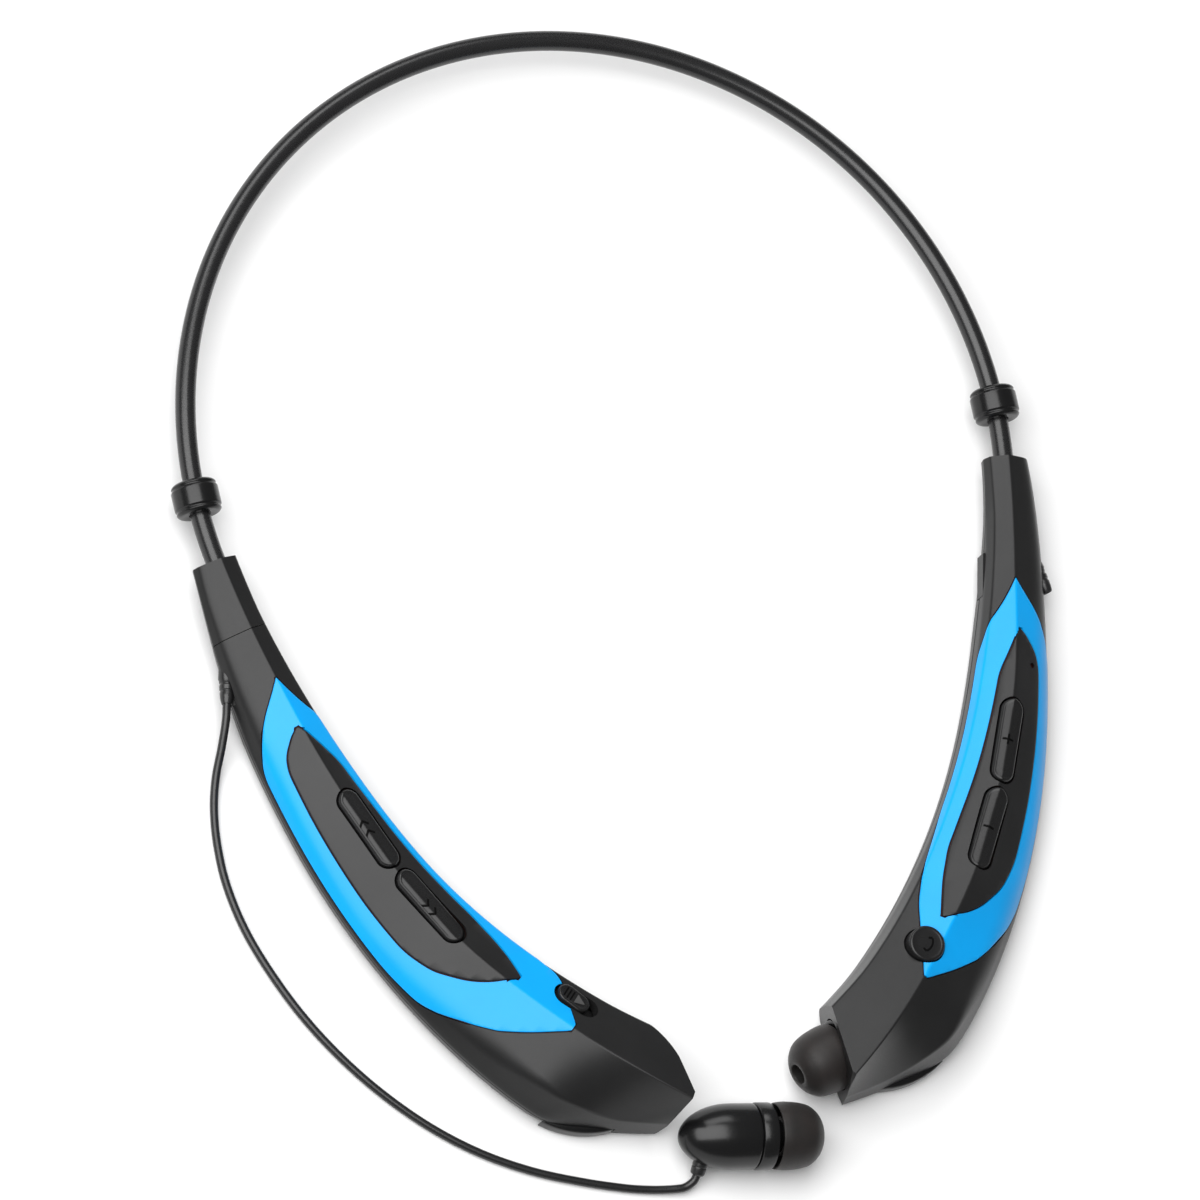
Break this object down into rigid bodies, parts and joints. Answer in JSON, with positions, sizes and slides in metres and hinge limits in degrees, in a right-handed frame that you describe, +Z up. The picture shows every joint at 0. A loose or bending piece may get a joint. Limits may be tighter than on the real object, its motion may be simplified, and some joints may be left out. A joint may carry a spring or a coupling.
{
  "type": "neckband earphones",
  "caption": "Wireless neckband earphones with two button arms on a sprung band, one magnetic earbud docked and one on a short cord.",
  "frame": {"origin": "middle of the bounding box on the table the neckband lies on, without the cord", "axes": "+Z up, +Y towards the back of the neckband, -X towards the wearer's left arm (the one with the power switch) as seen from above with the band away from the viewer"},
  "size_m": [0.1568, 0.2002, 0.0162],
  "materials": {
    "shell_plastic": "fine satin texture",
    "trim_blue": "satin blue metallic paint",
    "bezel_plastic": "satin",
    "button_plastic": "satin with printed symbols",
    "gloss_black": "polished",
    "band_rubber": "smooth, slightly shiny",
    "tip_silicone": "matte silicone",
    "cord_rubber": "smooth",
    "steel": "plain",
    "pcb": "solder mask",
    "switch_parts": "plain",
    "foil": "foil pouch",
    "copper": "insulated wire"
  },
  "bodies": {
    "left_arm": {"band_sleeve": "band_rubber", "memory_wire": "steel", "band_signal_wire": "copper", "left_boot": "shell_plastic", "left_top_shell": "shell_plastic", "left_bottom_shell": "shell_plastic", "left_trim": "trim_blue", "left_bezel": "bezel_plastic", "power_switch_body": "steel", "left_button_board": "pcb", "left_tact_switches": "switch_parts", "battery": "foil", "left_dock_cup": "gloss_black", "left_dock_magnet": "steel", "left_dock_pad": "gloss_black", "left_screws": "steel", "left_cord_gland": "gloss_black", "left_cord": "cord_rubber"},
    "right_arm": {"right_top_shell": "shell_plastic", "right_bottom_shell": "shell_plastic", "right_trim": "trim_blue", "right_bezel": "bezel_plastic", "main_board": "pcb", "call_button_board": "pcb", "right_tact_switches": "switch_parts", "bluetooth_module": "steel", "microphone": "steel", "vibration_motor": "steel", "usb_receptacle": "steel", "right_dock_cup": "gloss_black", "right_dock_magnet": "steel", "right_dock_pad": "gloss_black", "right_screws": "steel", "right_cord_gland": "gloss_black"},
    "left_bud": {"left_bud_housing": "gloss_black", "left_bud_front": "gloss_black", "left_bud_driver": "steel", "left_bud_mesh": "steel", "left_ear_tip": "tip_silicone", "left_bud_strain_relief": "band_rubber"},
    "right_bud": {"right_bud_housing": "gloss_black", "right_bud_front": "gloss_black", "right_bud_driver": "steel", "right_bud_mesh": "steel", "right_ear_tip": "tip_silicone"},
    "previous_button": {"previous_button": "button_plastic"},
    "next_button": {"next_button": "button_plastic"},
    "power_switch_knob": {"power_switch_knob": "button_plastic"},
    "left_collar": {"left_collar": "gloss_black"},
    "right_collar": {"right_collar": "gloss_black"},
    "volume_up_button": {"volume_up_button": "button_plastic"},
    "volume_down_button": {"volume_down_button": "button_plastic"},
    "call_button": {"call_button": "button_plastic"},
    "usb_cover": {"usb_cover": "band_rubber"}
  },
  "joints": [
    {"name": "band_flex", "type": "hinge", "parent": "left_arm", "child": "right_arm", "pos_m": [0, 0.09832, 0.007], "axis": [0, 0, 1], "range_deg": [0, 20], "stiffness_Nm_per_rad": 0.35, "deforming": ["band_sleeve", "memory_wire", "band_signal_wire"]},
    {"name": "left_collar_slide", "type": "hinge", "parent": "left_arm", "child": "left_collar", "pos_m": [0, 0.02612, 0.007], "axis": [0, 0, -1], "range_deg": [-6, 45]},
    {"name": "right_collar_slide", "type": "hinge", "parent": "right_arm", "child": "right_collar", "pos_m": [0, 0.02612, 0.007], "axis": [0, 0, 1], "range_deg": [-5, 45]},
    {"name": "previous_press", "type": "slide", "parent": "left_arm", "child": "previous_button", "axis": [0, 0, -1], "range_m": [0, 0.0004], "stiffness_N_per_m": 500},
    {"name": "next_press", "type": "slide", "parent": "left_arm", "child": "next_button", "axis": [0, 0, -1], "range_m": [0, 0.0004], "stiffness_N_per_m": 500},
    {"name": "volume_up_press", "type": "slide", "parent": "right_arm", "child": "volume_up_button", "axis": [0, 0, -1], "range_m": [0, 0.0004], "stiffness_N_per_m": 500},
    {"name": "volume_down_press", "type": "slide", "parent": "right_arm", "child": "volume_down_button", "axis": [0, 0, -1], "range_m": [0, 0.0004], "stiffness_N_per_m": 500},
    {"name": "call_press", "type": "slide", "parent": "right_arm", "child": "call_button", "axis": [0, 0, -1], "range_m": [0, 0.0004], "stiffness_N_per_m": 500},
    {"name": "power_switch_slide", "type": "slide", "parent": "left_arm", "child": "power_switch_knob", "axis": [0.677, -0.736, 0], "range_m": [0, 0.0014]},
    {"name": "usb_cover_hinge", "type": "hinge", "parent": "right_arm", "child": "usb_cover", "pos_m": [0.06398, -0.00054, 0.0046], "axis": [0, 0, -1], "range_deg": [0, 90]},
    {"name": "left_bud_lift", "type": "slide", "parent": "left_arm", "child": "left_bud", "axis": [0, 0, 1], "range_m": [0, 0.03], "deforming": ["left_cord"]},
    {"name": "right_bud_pull", "type": "slide", "parent": "right_arm", "child": "right_bud", "axis": [-0.9537, -0.3007, 0], "range_m": [0, 0.003]}
  ]
}
